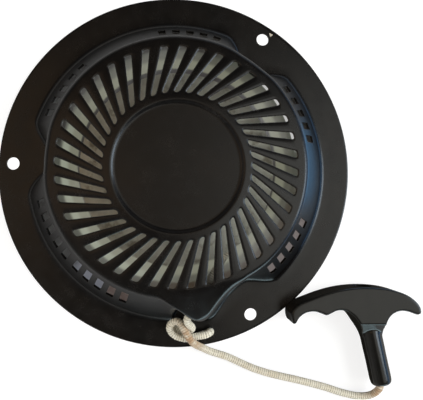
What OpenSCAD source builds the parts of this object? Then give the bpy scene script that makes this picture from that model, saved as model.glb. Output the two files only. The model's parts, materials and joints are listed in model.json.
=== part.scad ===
// Recoil starter for a small engine with an upright crankshaft.
// A pressed steel housing carries a spring-loaded rope reel on a central post. Pulling the
// rope turns the reel clockwise, seen from above, and two pawls swing out to drive the engine.
// Z is up, and z = 0 is the mounting plane, with the origin at the bolt circle's centre.

/* [Housing] */
// Diameter of the mounting flange
flange_d = 256; // [250:1:262]
// Thickness of the pressed sheet
sheet_t = 1.6; // [1.2:0.1:2]
// Diameter of the circle that the mounting holes lie on
bolt_circle_d = 236; // [232:1:238]
// Diameter of a mounting hole
bolt_hole_d = 9; // [6.6:0.1:10]
// Height of the dome's rim above the mounting plane
rim_h = 46; // [45:0.5:50]
// Radius of the dome's rim
rim_r = 87; // [86:0.5:88]
// Radius of the sloping wall at the flange
wall_r = 107; // [104:1:108]
// Radius of the steep wall beside each mounting hole
recess_r = 92; // [91:0.5:94]
// Width of each recess in the wall, in degrees
recess_angle = 19; // [15:1:21]
// Rise of the top from its rim to its central disc
crown_rise = 4; // [3:0.5:5]
// Radius of the sunk disc in the middle of the top
disc_r = 42; // [38:1:44]
// Depth of the sunk disc
disc_sink = 1.3; // [0.8:0.1:1.8]
// Radius of the bend at the dome's rim
rim_bend = 3; // [2:0.5:4]
// Radius of the bend where the wall meets the flange
foot_bend = 3.5; // [2.5:0.5:5]

/* [Cooling openings] */
// Number of slots in the top
slot_count = 40; // [32:1:42]
// Width of the plain ring between the disc and the slots
slot_in_margin = 7; // [6:0.5:10]
// Width of the plain ring between the slots and the dome's rim
slot_out_margin = 7; // [6.5:0.5:13]
// Width of a slot at its inner end
slot_in_w = 3; // [2:0.1:3.4]
// Width of a slot at its outer end
slot_out_w = 4.4; // [3.4:0.1:5]
// How far a slot's inner end is turned round from its outer end, in degrees
slot_slant = 13; // [7:1:17]
// Width of a vent in the wall
vent_w = 5.3; // [4:0.1:5.8]
// Height of a vent in the wall
vent_h = 21.5; // [14:0.5:22]
// Height of the vents' lower ends above the mounting plane
vent_z = 17; // [16:0.5:19]

/* [Rope outlet] */
// Distance from the axis to the outlet's front face
outlet_n = 82.3; // [82:0.1:84]
// Height of the outlet's front edge
outlet_h = 37; // [35:0.5:42]
// Inner diameter of the eyelet that guides the rope
eyelet_d = 7.2; // [6.8:0.1:8]
// Wall of the eyelet's barrel
eyelet_wall = 1.4; // [1:0.1:2]

/* [Rope and reel] */
// Diameter of the rope
rope_d = 5.5; // [4.6:0.1:5.6]
// Height of the rope's plane above the mounting plane
rope_z = 22; // [21.5:0.25:23]
// Radius of the outermost turn of rope
wind_r = 59; // [57:0.5:60]
// Turns of rope on the reel
wind_turns = 2.5; // [2:0.5:2.5]
// Reach of the reel's side plates beyond the outermost turn of rope
reel_lip = 8; // [6:0.5:11]
// Thickness of the reel's side plates
plate_t = 1.2; // [1:0.1:1.5]
// Radius of the post that the reel turns on
post_r = 9; // [8:0.25:10]

/* [Recoil spring] */
// Width of the spring strip
strip_w = 11; // [9:0.5:11.5]
// Thickness of the spring strip
strip_t = 0.9; // [0.6:0.1:1.1]
// Turns of the spring
spring_turns = 8; // [6:1:9]
// Outer radius of the case around the spring
case_r = 40; // [39:0.5:41]

/* [Pawls] */
// Distance from the axis to a pawl's pivot
pivot_r = 30; // [29:0.5:31]
// Radius of a pawl's pivot pin
pivot_pin_r = 2.5; // [2:0.1:2.8]
// Length of a pawl from its pivot to its tip
pawl_l = 25.5; // [23:0.5:26]
// Thickness of a pawl
pawl_t = 4; // [3:0.25:4.25]
// Angle through which a pawl swings out
pawl_swing = 16; // [12:1:18]
// Angle through which the guide turns against the reel
guide_turn = 25; // [20:1:28]
// Radius of the guide plate
guide_r = 37; // [36.5:0.25:38]

/* [Pull handle] */
// Thickness of the grip bar
grip_t = 25; // [22:0.5:27]
// Width of the stem
stem_w = 15; // [14.5:0.25:17]
// Thickness of the stem's flat web
stem_t = 11; // [9:0.5:12]
// Radius of the round boss along the stem
stem_boss_r = 7.2; // [6.5:0.1:7.2]

/* [Hidden] */
// Running clearance of a shaft in its hole
run_gap = 0.05;
// Clearance between pieces that pass each other
pass_gap = 0.4;
// Overshoot of a cut past the face it leaves
cut = 1;
// Facets on an ordinary round piece
round_fn = 64;

// Angles of the mounting holes and of the wall's vents, in degrees
bolt_angles = [58, 178, 298];
outlet_angle = 240;
vent_pitch = 5.8;
vent_starts = [314.4, 13.8, 74, 133.8, 194.9, 224.9];
vent_group = 5;
// Turn of each recess's middle from its mounting hole
recess_turn = -2;

// The dome's profile: slopes of the wall and of the top
step_w = 2.2;
slot_phase = 6.9;
slot_in_r = disc_r + slot_in_margin;
slot_out_r = rim_r - slot_out_margin;
ring_r = disc_r + step_w;
crown_z = rim_h + crown_rise;
disc_z = crown_z - disc_sink;
top_fall = crown_rise / (rim_r - ring_r);
bulge_in_r = slot_out_r + 2.5;
inside_z = disc_z - sheet_t;

// The rope outlet, in the frame turned so that X runs out along the rope
outlet_side = wind_r + 9.5;
outlet_foot = outlet_side + 8.5;
eyelet_lip = 1.3;
eyelet_flange_r = eyelet_d / 2 + eyelet_wall + 1.8;
outlet_near = wind_r - eyelet_flange_r - 1.2;

// Radii of the reel's parts
wind_pitch = rope_d + 0.1;
wind_in_r = wind_r - wind_pitch * wind_turns;
drum_gap = 0.75;
drum_r = wind_in_r - rope_d / 2 - drum_gap;
drum_wall = 2;
reel_r = wind_r + reel_lip;

// Heights of the reel's parts
groove_w = rope_d + 2 * pass_gap;
upper_z = rope_z + groove_w / 2;
lower_z = rope_z - groove_w / 2 - plate_t;
case_z = upper_z + plate_t;
case_wall = 1;
strip_gap = 0.3;
strip_z = case_z + case_wall + strip_gap;
case_top = strip_z + strip_w + strip_gap;
bush_r = post_r + 4;
bush_end = lower_z - 3.6;
post_end = bush_end - 2;

// Heights of the pawls and of the brake below them
pawl_top = lower_z - 1.1;
pawl_z = pawl_top - pawl_t;
guide_t = 2.2;
guide_z = pawl_z - 1.6 - guide_t;
shoulder_r = 5;
thread_r = 4;
thread_l = 14;
washer_t = 1;
washer_r = 12;
screw_head_r = 7.5;
screw_head_h = 3.2;
guide_hub_r = 9;
brake_wire_r = 0.7;
brake_h = 3.6;
washer_z = guide_z - brake_h - washer_t;
peg_r = 2;
peg_at = [-3, -11];
rivet_r = 2;
rivet_ring_r = 28;
rivet_angles = [65, 115, 245, 295];

// The handle lies on its side, with its stem's end here and its stem pointing this way
handle_at = [149.3, -152.9];
handle_angle = 11.4;
handle_lift = 0.4;
grip_z = handle_lift + grip_t / 2;
stem_l = 44;
// Outline of the grip bar, from the stem's right side round the top to its left side
grip_points = [
    [stem_w / 2, stem_l], [10, 48], [15, 51], [21, 51.8], [27, 50], [32, 47.4], [34, 49.6],
    [31.5, 55], [25, 61], [16, 66.4], [6, 70.2], [-6, 73.2], [-18, 74.6], [-30, 74.5],
    [-42, 72.7], [-50, 70.5], [-54.5, 66], [-55.2, 60.5], [-51, 62.5], [-46, 64.3],
    [-40, 63.8], [-35, 61], [-32, 59.4], [-29, 60], [-24, 61.2], [-18.5, 60], [-13, 55.5],
    [-9.5, 49.5], [-stem_w / 2, stem_l]];

// Route of the rope from the knot to the handle
rope_route = [
    [26, -130.5, 3.9], [38, -134.5, 3.1], [48, -139, 3], [58.5, -143.5, 3],
    [71.5, -147.5, 3], [91, -152, 3], [110, -157, 3], [123.5, -161.3, 3.2],
    [135, -163.5, 4.3], [143.5, -161.8, 8], [148, -157, 11.9],
    [handle_at[0], handle_at[1], grip_z]];
// Route of the slip knot: distance out along the rope, distance across, and height
knot_route = [
    [outlet_n + eyelet_lip + 0.6, wind_r, rope_z], [86.2, wind_r + 0.2, 21.8],
    [88.3, 61.2, 20.3], [89.7, 64.8, 16.8], [91.8, 66.4, 12.1], [94, 64.8, 7.8],
    [96, 61.6, 5.3], [98.6, 59.8, 4.6], [101.4, 61.6, 4.6], [101.4, 66.2, 4.6],
    [98.2, 70.6, 4.6], [93.9, 75, 4.6], [90.4, 78.2, 4.6], [88.2, 79.6, 5.4],
    [87.4, 79.9, 7.4], [88.2, 79.4, 9.4], [90.4, 77.8, 10.2], [93.6, 74.2, 10.2],
    [97.2, 69.7, 10.3], [100.3, 65.4, 10.3], [101.7, 60.3, 10.3], [101.2, 55.8, 10.4],
    [98.9, 52.7, 11], [95.2, 52.2, 12.4], [92.2, 54.2, 14.2], [92, 57.7, 15.5],
    [93.9, 61.5, 16.6], [96.6, 66.4, 17], [98.9, 71.2, 15.7], [99.9, 75.6, 11.6],
    [100.2, 80.8, 6.8], [100.5, 87.5, 4.4]];

// ---- Shared shapes ----

// Points of an arc that rounds the corner p1 between p0 and p2 with radius r
function corner(p0, p1, p2, r, steps = 5) =
    let(a = (p0 - p1) / norm(p0 - p1), b = (p2 - p1) / norm(p2 - p1),
        half = acos(a * b) / 2, mid = (a + b) / norm(a + b),
        centre = p1 + mid * r / sin(half), reach = r / tan(half),
        from = p1 + a * reach - centre, to = p1 + b * reach - centre)
    [for (i = [0:steps])
        let(v = from * (1 - i / steps) + to * i / steps) centre + v * r / norm(v)];

// A smooth curve through the points, with this many steps between two of them
function smooth(p, steps) =
    [for (i = [0:len(p) - 2]) for (k = [0:steps - 1])
        let(t = k / steps, a = p[max(i - 1, 0)], b = p[i], c = p[i + 1],
            d = p[min(i + 2, len(p) - 1)])
        ((2 * b) + (c - a) * t + (2 * a - 5 * b + 4 * c - d) * t * t
            + (3 * b - a - 3 * c + d) * t * t * t) / 2,
     p[len(p) - 1]];

// Direction of the path at point i
function heading(path, i) =
    let(run = path[min(i + 1, len(path) - 1)] - path[max(i - 1, 0)]) run / norm(run);

// The direction v turned square to t by the shortest way
function squared(v, t) =
    let(w = v - (v * t) * t) w / norm(w);

// A round tube of radius r along the path
module tube(path, r, sides = 8) {
    last = len(path) - 1;
    // The side direction is carried from each ring to the next, so the tube doesn't twist
    starts = [for (i = 0, v = squared([0.02, 0.01, 1], heading(path, 0)); i <= last;
        i = i + 1, v = squared(v, heading(path, min(i, last)))) v];
    rings = [for (i = [0:last])
        let(up = starts[i], side = cross(heading(path, i), up))
        for (k = [0:sides - 1]) path[i] + r * (cos(360 * k / sides) * side
            + sin(360 * k / sides) * up)];
    walls = [for (i = [0:last - 1]) for (k = [0:sides - 1])
        let(a = i * sides + k, b = i * sides + (k + 1) % sides)
        for (f = [[a, b, b + sides], [a, b + sides, a + sides]]) f];
    polyhedron(rings, concat(walls, [[for (k = [sides - 1:-1:0]) k]],
        [[for (k = [0:sides - 1]) last * sides + k]]));
}

module ring(outer, inner, h) {
    difference() {
        cylinder(r = outer, h = h, $fn = round_fn);
        translate([0, 0, -cut]) cylinder(r = inner, h = h + 2 * cut, $fn = round_fn);
    }
}

// ---- Housing ----

// Height of the sloping top at radius r, with its surface set inwards by d
function top_z(r, d) = rim_h + top_fall * (rim_r - r) - d * norm([1, top_fall]);

// Outline of the wall from its foot up to the top, set inwards by d
function wall_outline(base, d) =
    let(lean = (rim_r - base) / rim_h, inner = base - d * norm([1, lean]),
        foot = [inner + lean * (sheet_t - d), sheet_t - d],
        rim_at = (top_z(inner, d)) / (1 + lean * top_fall),
        rim = [inner + lean * rim_at, rim_at],
        bend = corner(rim, foot, foot + [12, 0], foot_bend + d))
    concat([for (i = [5:-1:0]) bend[i]],
        corner(foot, rim, [ring_r, top_z(ring_r, d)], rim_bend - d / 2));

// The dome without its bulges
module dome_profile(d) {
    outline = wall_outline(recess_r, d);
    below = d > 0 ? -cut : 0;
    polygon(concat([[0, below], [outline[0][0], below]], outline,
        [[ring_r, top_z(ring_r, d)], [disc_r, disc_z - d], [0, disc_z - d]]));
}

// What a bulge of the wall adds outside the slots
module bulge_profile(d) {
    outline = wall_outline(wall_r, d);
    below = d > 0 ? -cut : 0;
    polygon(concat([[bulge_in_r, below], [outline[0][0], below]], outline,
        [[bulge_in_r, top_z(bulge_in_r, d)]]));
}

// The outlet's boxy spout, set inwards by d, in the frame turned along the rope.
// It is what three prisms share: its section across the rope, its plan and its side view.
module spout(d) {
    below = d > 0 ? -cut : 0;
    front = outlet_n - d;
    side = outlet_side - d;
    back_side = 14;
    far = outlet_foot + 20;
    foot = [outlet_foot - d, sheet_t - d];
    bend = corner([side, outlet_h], foot, foot + [12, 0], foot_bend + d);
    root_n = 56;
    root_h = rim_h - 0.6 - d;
    intersection() {
        rotate([90, 0, 90]) linear_extrude(front) polygon(concat(
            [[back_side, below], [bend[5][0], below]], [for (i = [5:-1:0]) bend[i]],
            corner([side, outlet_h], [side - 0.5, rim_h + 2], [back_side, rim_h + 2], 3),
            [[back_side, rim_h + 2]]));
        translate([0, 0, -2 * cut]) linear_extrude(rim_h + 4 * cut) polygon(concat(
            [[0, back_side - 2], [front, back_side - 2]],
            corner([front, back_side], [front, side - 1], [front - 9, far], 7),
            [[front - 9, far], [0, far]]));
        translate([0, far, 0]) rotate([90, 0, 0]) linear_extrude(far) polygon(concat(
            [[0, below], [front, below]],
            corner([front, below], [front, outlet_h - d], [root_n, root_h], 2),
            [[root_n, root_h], [0, root_h]]));
    }
}

// Angle that a bulge spans: up to the next recess, or up to the spout's corner if that is nearer
function bulge_angle(bolt) =
    let(corner_angle = outlet_angle + atan(outlet_side / outlet_n))
    min(120 - recess_angle,
        (corner_angle - bolt - recess_turn - recess_angle / 2 + 360) % 360);

// Everything that the sheet encloses, set inwards by d. The wall is cut away in front of the
// spout, so that the eyelet stands on a flat face.
module dome_solid(d) {
    inset = d > 0 ? 1 : 0;
    difference() {
        union() {
            rotate_extrude($fn = 180) dome_profile(d);
            for (a = bolt_angles)
                rotate([0, 0, a + recess_turn + recess_angle / 2 + inset])
                    rotate_extrude(angle = bulge_angle(a) - 2 * inset, $fn = 180)
                        bulge_profile(d);
        }
        rotate([0, 0, outlet_angle]) translate([outlet_n - d, outlet_near - d, -3 * cut])
            cube([wall_r, wall_r, rim_h]);
    }
    rotate([0, 0, outlet_angle]) spout(d);
}

module slot() {
    outer = [slot_out_r, 0];
    inner = slot_in_r * [cos(slot_slant), sin(slot_slant)];
    run = (outer - inner) / norm(outer - inner);
    side = [-run[1], run[0]];
    wide = [0, slot_out_w / 2 / run[0]];
    thin = side * slot_in_w / 2;
    soft = 0.9;
    round_r = slot_in_w * 0.45;
    translate([0, 0, rim_h - 8]) linear_extrude(20) polygon(concat(
        corner(outer + wide, inner + thin, inner - thin, round_r, 3),
        corner(inner + thin, inner - thin, outer - wide, round_r, 3),
        corner(inner - thin, outer - wide, outer + wide, soft, 2),
        corner(outer - wide, outer + wide, inner + thin, soft, 2)));
}

module vent(a) {
    rotate([0, 0, a]) translate([rim_r - 4, -vent_w / 2, vent_z])
        cube([wall_r - rim_r, vent_w, vent_h]);
}

module housing() {
    color("#26221f") difference() {
        union() {
            cylinder(d = flange_d, h = sheet_t, $fn = 180);
            dome_solid(0);
        }
        dome_solid(sheet_t);
        for (i = [0:slot_count - 1]) rotate([0, 0, slot_phase + i * 360 / slot_count]) slot();
        for (start = vent_starts) for (i = [0:vent_group - 1]) vent(start + i * vent_pitch);
        for (a = bolt_angles)
            rotate([0, 0, a]) translate([bolt_circle_d / 2, 0, -cut])
                cylinder(d = bolt_hole_d, h = sheet_t + 2 * cut, $fn = round_fn);
        rotate([0, 0, outlet_angle]) translate([outlet_n - 10, wind_r, rope_z])
            rotate([0, 90, 0]) cylinder(r = eyelet_d / 2 + eyelet_wall, h = 20, $fn = round_fn);
    }
}

// ---- Pieces fixed to the housing ----

module rope_eyelet() {
    bore = eyelet_d / 2;
    barrel = bore + eyelet_wall - 0.02;
    back = -sheet_t - eyelet_lip;
    flange = eyelet_flange_r;
    color("silver") rotate([0, 0, outlet_angle]) translate([outlet_n, wind_r, rope_z])
        rotate([0, 90, 0]) rotate_extrude($fn = round_fn) polygon([
            [bore, back + 0.5], [bore + 0.5, back], [flange - 0.4, back],
            [flange - 0.4, -sheet_t], [barrel, -sheet_t], [barrel, 0], [flange, 0],
            [flange, eyelet_lip - 0.5], [flange - 0.5, eyelet_lip],
            [bore + 0.7, eyelet_lip], [bore, eyelet_lip - 0.7]]);
}

module centre_post() {
    weld_r = 20;
    weld_t = 2;
    lug_w = 4;
    lug_reach = 1.5;
    color("gainsboro") difference() {
        union() {
            translate([0, 0, post_end])
                cylinder(r = post_r, h = inside_z - post_end, $fn = round_fn);
            translate([0, 0, inside_z - weld_t]) cylinder(r = weld_r, h = weld_t, $fn = round_fn);
            translate([0, -lug_w / 2, strip_z]) cube([post_r + lug_reach, lug_w, strip_w]);
        }
        translate([0, 0, post_end - cut])
            cylinder(r = thread_r, h = thread_l + cut + 2, $fn = round_fn);
    }
}

module centre_screw() {
    color("silver") {
        translate([0, 0, washer_z - screw_head_h])
            cylinder(r = screw_head_r, h = screw_head_h, $fn = 6);
        translate([0, 0, washer_z])
            cylinder(r = shoulder_r, h = post_end - washer_z, $fn = round_fn);
        translate([0, 0, post_end])
            cylinder(r = thread_r - run_gap, h = thread_l, $fn = round_fn);
    }
}

module brake_washer() {
    color("silver") translate([0, 0, washer_z]) ring(washer_r, shoulder_r + run_gap, washer_t);
}

module brake_spring() {
    turns = 1.75;
    rise = brake_h - 2 * brake_wire_r - 0.1;
    coil_r = 8.5;
    steps = 36;
    color("dimgray") translate([0, 0, washer_z + washer_t + brake_wire_r]) tube(
        [for (i = [0:steps]) let(a = 360 * turns * i / steps)
            [coil_r * cos(a), coil_r * sin(a), rise * i / steps]], brake_wire_r, 6);
}

module rope_lead() {
    start = 2;
    color("#e1decd") rotate([0, 0, outlet_angle]) translate([start, wind_r, rope_z])
        rotate([0, 90, 0]) cylinder(d = rope_d, h = outlet_n + eyelet_lip - start, $fn = 24);
}

// ---- Reel ----

// Holes through a side plate for the bush, the rivets and the pawls' pivots
module reel_plate(pivots) {
    difference() {
        cylinder(r = reel_r, h = plate_t, $fn = 120);
        translate([0, 0, -cut]) cylinder(r = bush_r + run_gap, h = plate_t + 2 * cut, $fn = round_fn);
        for (a = rivet_angles) rotate([0, 0, a]) translate([rivet_ring_r, 0, -cut])
            cylinder(r = rivet_r + run_gap, h = plate_t + 2 * cut, $fn = 32);
        if (pivots) for (a = [0, 180]) rotate([0, 0, a]) translate([pivot_r, 0, -cut])
            cylinder(r = pivot_pin_r + run_gap, h = plate_t + 2 * cut, $fn = 32);
    }
}

module reel_upper_plate() {
    color("#a09a8c") translate([0, 0, upper_z]) reel_plate(false);
}

module reel_lower_plate() {
    color("#a09a8c") translate([0, 0, lower_z]) reel_plate(true);
}

// Angle on the reel at which the rope's inner end goes through the drum
rope_end_angle = outlet_angle + 90 + 360 * wind_turns;
rope_slot_w = 2 * rope_d;
tail_in = 7.2;

module reel_drum() {
    color("#8f8a7e") translate([0, 0, lower_z + plate_t]) difference() {
        ring(drum_r, drum_r - drum_wall, groove_w);
        rotate([0, 0, rope_end_angle + 10]) translate([0, -rope_slot_w / 2, -cut])
            cube([drum_r + 5, rope_slot_w, groove_w + 2 * cut]);
    }
}

module reel_bush() {
    color("darkkhaki") difference() {
        union() {
            translate([0, 0, bush_end]) cylinder(r = bush_r, h = case_z - bush_end, $fn = round_fn);
            translate([0, 0, case_z]) cylinder(r = bush_r + 3, h = case_wall, $fn = round_fn);
        }
        translate([0, 0, bush_end - cut]) cylinder(r = post_r + run_gap, h = 40, $fn = round_fn);
    }
}

module reel_rivets() {
    color("silver") for (a = rivet_angles) rotate([0, 0, a]) translate([rivet_ring_r, 0, 0]) {
        translate([0, 0, lower_z]) cylinder(r = rivet_r, h = case_z - lower_z, $fn = 32);
        translate([0, 0, lower_z - 0.8]) cylinder(r = rivet_r + 1.3, h = 0.8, $fn = 32);
        translate([0, 0, lower_z + plate_t]) cylinder(r = rivet_r + 1.6, h = groove_w, $fn = 32);
    }
}

module spring_case() {
    color("#8f8a7e") translate([0, 0, case_z]) {
        ring(case_r, bush_r + 3 + run_gap, case_wall);
        translate([0, 0, case_wall]) ring(case_r, case_r - case_wall, case_top - case_z - case_wall);
    }
}

module spring_keeper() {
    color("#8f8a7e") translate([0, 0, case_top]) ring(case_r, post_r + 3.5, case_wall);
}

module recoil_spring() {
    first = post_r + 1.8;
    last = case_r - case_wall - strip_t - 0.1;
    steps = 20 * spring_turns;
    // The strip's inner face at each step, and the same points moved out by its thickness
    radii = [for (i = [0:steps]) first + (last - first) * i / steps];
    turn = 360 * spring_turns / steps;
    color("dimgray") translate([0, 0, strip_z]) linear_extrude(strip_w) polygon(concat(
        [for (i = [0:steps]) radii[i] * [cos(i * turn), sin(i * turn)]],
        [for (i = [steps:-1:0]) (radii[i] + strip_t) * [cos(i * turn), sin(i * turn)]]));
}

// The rope wound on the reel: a flat spiral, then a bend inwards through the drum
function wind_path() =
    let(start = outlet_angle + 90, steps = 24 * wind_turns)
    concat(
        [for (i = [0:steps])
            let(turned = wind_turns * i / steps, a = start + 360 * turned,
                r = wind_r - wind_pitch * turned)
            [r * cos(a), r * sin(a), rope_z]],
        [for (e = [[3, 0.9], [6.5, 3.4], [9.5, tail_in]])
            let(a = rope_end_angle + e[0], r = wind_in_r - e[1])
            [r * cos(a), r * sin(a), rope_z]]);

module rope_winding() {
    color("#e1decd") tube(wind_path(), rope_d / 2 - 0.02, 8);
}

module rope_anchor_knot() {
    knot_r = rope_d;
    path = wind_path();
    last = len(path) - 1;
    at = path[last] + (knot_r + 0.1) * heading(path, last);
    h = groove_w - 0.3;
    color("#e1decd") translate([at[0], at[1], rope_z - h / 2])
        rotate_extrude($fn = 32) polygon([[0, 0], [knot_r - 2, 0], [knot_r, 1.8],
            [knot_r, h - 1.8], [knot_r - 2, h], [0, h]]);
}

// ---- Pawls and their guide ----

module pawl_pivots() {
    head = 0.7;
    play = 0.2;
    color("silver") for (a = [0, 180]) rotate([0, 0, a]) translate([pivot_r, 0, 0]) {
        translate([0, 0, pawl_z - play])
            cylinder(r = pivot_pin_r, h = lower_z + plate_t - pawl_z + play, $fn = 32);
        translate([0, 0, pawl_z - play - head])
            cylinder(r = pivot_pin_r + 1.3, h = head, $fn = 32);
    }
}

// Hairpin wire that holds each pawl in, bent round its pivot under the side plate
module pawl_springs() {
    wire_r = 0.4;
    bend_r = 2 * pivot_pin_r;
    legs = pawl_l * [0.43, 0.31];
    path = concat([[-bend_r, -legs[0], 0]],
        [for (a = [180:-15:0]) bend_r * [cos(a), sin(a), 0]], [[bend_r, -legs[1], 0]]);
    color("dimgray") for (a = [0, 180]) rotate([0, 0, a])
        translate([pivot_r, 0, lower_z - wire_r]) tube(path, wire_r, 8);
}

module pawl() {
    eye_r = pivot_pin_r + 3.5;
    color("#b9b4a6") translate([pivot_r, 0, 0]) {
        difference() {
            translate([0, 0, pawl_z]) linear_extrude(pawl_t) union() {
                circle(r = eye_r, $fn = 48);
                polygon([[0.6 - eye_r, 0], [1 - eye_r, -pawl_l / 2], [4 - eye_r, 0.5 - pawl_l],
                    [eye_r - 3.6, -pawl_l], [eye_r - 1.6, -pawl_l * 0.55], [eye_r - 0.2, 0]]);
            }
            translate([0, 0, pawl_z - cut])
                cylinder(r = pivot_pin_r + run_gap, h = pawl_t + 2 * cut, $fn = 48);
        }
        translate([peg_at[0], peg_at[1], guide_z + 0.2])
            cylinder(r = peg_r, h = pawl_z - guide_z, $fn = 32);
    }
}

module pawl_1() {
    pawl();
}

module pawl_2() {
    rotate([0, 0, 180]) pawl();
}

// Where a pawl's peg lies on the guide when the guide has made this share of its turn
function peg_point(share) =
    let(p = pawl_swing * share, g = -guide_turn * share,
        x = pivot_r + peg_at[0] * cos(p) - peg_at[1] * sin(p),
        y = peg_at[0] * sin(p) + peg_at[1] * cos(p))
    [x * cos(g) - y * sin(g), x * sin(g) + y * cos(g)];

module peg_slot() {
    steps = 6;
    half = peg_r + pass_gap;
    path = [for (i = [0:steps]) peg_point(i / steps)];
    sides = [for (i = [0:steps])
        let(run = path[min(i + 1, steps)] - path[max(i - 1, 0)])
        [-run[1], run[0]] / norm(run) * (half - 0.03)];
    translate([0, 0, guide_z - cut]) {
        linear_extrude(guide_t + 3 * cut) polygon(concat(
            [for (i = [0:steps]) path[i] + sides[i]], [for (i = [steps:-1:0]) path[i] - sides[i]]));
        for (p = [path[0], path[steps]]) translate([p[0], p[1], 0])
            cylinder(r = half, h = guide_t + 3 * cut, $fn = 32);
    }
}

module ratchet_guide() {
    hub_top = post_end - 0.1;
    color("#a09a8c") difference() {
        union() {
            translate([0, 0, guide_z]) cylinder(r = guide_r, h = guide_t, $fn = 96);
            translate([0, 0, guide_z])
                cylinder(r = guide_hub_r, h = hub_top - guide_z, $fn = round_fn);
        }
        translate([0, 0, guide_z - cut]) cylinder(r = shoulder_r + run_gap, h = 12, $fn = round_fn);
        for (a = [0, 180]) rotate([0, 0, a]) peg_slot();
    }
}

// ---- Rope, knot and handle ----

module rope() {
    color("#e1decd") tube(smooth(rope_route, 4), rope_d / 2, 8);
}

module slip_knot() {
    color("#e1decd") rotate([0, 0, outlet_angle]) tube(smooth(knot_route, 3), rope_d / 2 - 0.1, 8);
}

// Places what follows in the handle's own frame: Y runs up the stem from its end
module in_handle() {
    translate([handle_at[0], handle_at[1], grip_z]) rotate([0, 0, handle_angle]) children();
}

bore_gap = 0.35;
pocket_r = 7;
pocket_v = 52;

module grip_slab(inset, low, high) {
    translate([0, 0, low]) linear_extrude(high - low)
        offset(delta = -inset) polygon(smooth(grip_points, 3));
}

module pull_handle() {
    half = grip_t / 2;
    soft = 1.6;
    stem_end = 0.5;
    color("#2b2a28") in_handle() difference() {
        union() {
            grip_slab(0, -half + soft, half - soft);
            grip_slab(soft * 0.7, -half, half);
            translate([-stem_w / 2, stem_end, -stem_t / 2])
                cube([stem_w, stem_l + 4 - stem_end, stem_t]);
            rotate([-90, 0, 0]) cylinder(r = stem_boss_r, h = stem_l + 2, $fn = 48);
        }
        translate([0, -cut, 0]) rotate([-90, 0, 0])
            cylinder(d = rope_d + 2 * bore_gap, h = 2 * stem_l, $fn = 48);
        translate([0, pocket_v, 0]) rotate([-90, 0, 0])
            cylinder(r = pocket_r, h = stem_l, $fn = 48);
    }
}

module handle_insert() {
    color("silver") in_handle() translate([0, pocket_v, 0]) rotate([-90, 0, 0])
        ring(pocket_r - run_gap, rope_d / 2 + bore_gap, 1.5);
}

module handle_knot() {
    knot_r = 0.95 * rope_d;
    start = 0.7;
    color("#e1decd") in_handle() {
        translate([0, pocket_v + 1.5 + knot_r, 0]) sphere(r = knot_r, $fn = 32);
        translate([0, start, 0]) rotate([-90, 0, 0])
            cylinder(d = rope_d, h = pocket_v + knot_r - start, $fn = 24);
    }
}

housing();
rope_eyelet();
centre_post();
centre_screw();
brake_washer();
brake_spring();
reel_upper_plate();
reel_lower_plate();
reel_drum();
reel_bush();
reel_rivets();
spring_case();
spring_keeper();
recoil_spring();
rope_winding();
rope_anchor_knot();
rope_lead();
pawl_pivots();
pawl_springs();
pawl_1();
pawl_2();
ratchet_guide();
rope();
slip_knot();
pull_handle();
handle_insert();
handle_knot();
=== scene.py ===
import json
import math

import bmesh
import bpy
import numpy as np
from mathutils import Matrix, Vector


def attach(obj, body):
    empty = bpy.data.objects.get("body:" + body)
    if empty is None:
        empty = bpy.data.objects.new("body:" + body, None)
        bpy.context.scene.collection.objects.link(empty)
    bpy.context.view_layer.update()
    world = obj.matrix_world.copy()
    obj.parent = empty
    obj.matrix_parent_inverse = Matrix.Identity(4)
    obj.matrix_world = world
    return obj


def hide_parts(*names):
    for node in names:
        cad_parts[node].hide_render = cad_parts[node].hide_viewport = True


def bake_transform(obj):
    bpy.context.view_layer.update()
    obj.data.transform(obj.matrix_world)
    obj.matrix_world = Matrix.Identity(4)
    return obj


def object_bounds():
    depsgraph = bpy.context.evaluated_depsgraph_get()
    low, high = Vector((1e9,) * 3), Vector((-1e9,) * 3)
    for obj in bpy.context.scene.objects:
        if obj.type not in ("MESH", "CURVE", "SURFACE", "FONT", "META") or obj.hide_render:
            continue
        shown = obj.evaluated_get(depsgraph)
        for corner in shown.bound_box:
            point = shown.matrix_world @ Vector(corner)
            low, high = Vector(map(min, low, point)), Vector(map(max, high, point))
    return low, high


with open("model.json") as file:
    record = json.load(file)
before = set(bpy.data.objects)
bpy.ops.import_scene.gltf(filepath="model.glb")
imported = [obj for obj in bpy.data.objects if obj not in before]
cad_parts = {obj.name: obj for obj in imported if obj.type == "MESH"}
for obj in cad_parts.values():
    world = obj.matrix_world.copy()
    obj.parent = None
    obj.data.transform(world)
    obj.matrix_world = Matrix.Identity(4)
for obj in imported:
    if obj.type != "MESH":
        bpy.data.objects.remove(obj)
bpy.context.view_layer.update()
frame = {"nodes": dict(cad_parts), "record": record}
cad = frame["nodes"]
scene = bpy.context.scene
scene.view_settings.view_transform = "Standard"

# ---- Camera ----
# The starter lies flat on a pale table, with the engine's side down. It is looked at from
# 43 cm above the flange, almost straight down, with the rope's outlet and the handle below.

bpy.ops.object.camera_add(
    location=(-0.0047, -0.0325, 0.4298),
    rotation=(math.radians(1.58), math.radians(-4.07), math.radians(0.65)),
)
camera = bpy.context.object
camera.data.sensor_width = 36
camera.data.lens = 49.62
camera.data.clip_start = 0.01
scene.camera = camera

# ---- Starter rope ----
# Braided cord 5.5 mm thick, of sixteen cream strands that pass over and under each other.
# It leaves the eyelet, is tied in a slip knot that stops it there, and runs to the handle.

mm = 0.001
rope_d = 5.5 * mm
outlet_angle = 240
outlet_turn = math.radians(outlet_angle)
outward = Vector((math.cos(outlet_turn), math.sin(outlet_turn), 0))
across = Vector((-math.sin(outlet_turn), math.cos(outlet_turn), 0))
rope_side, rope_height = 59 * mm, 22 * mm
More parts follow.
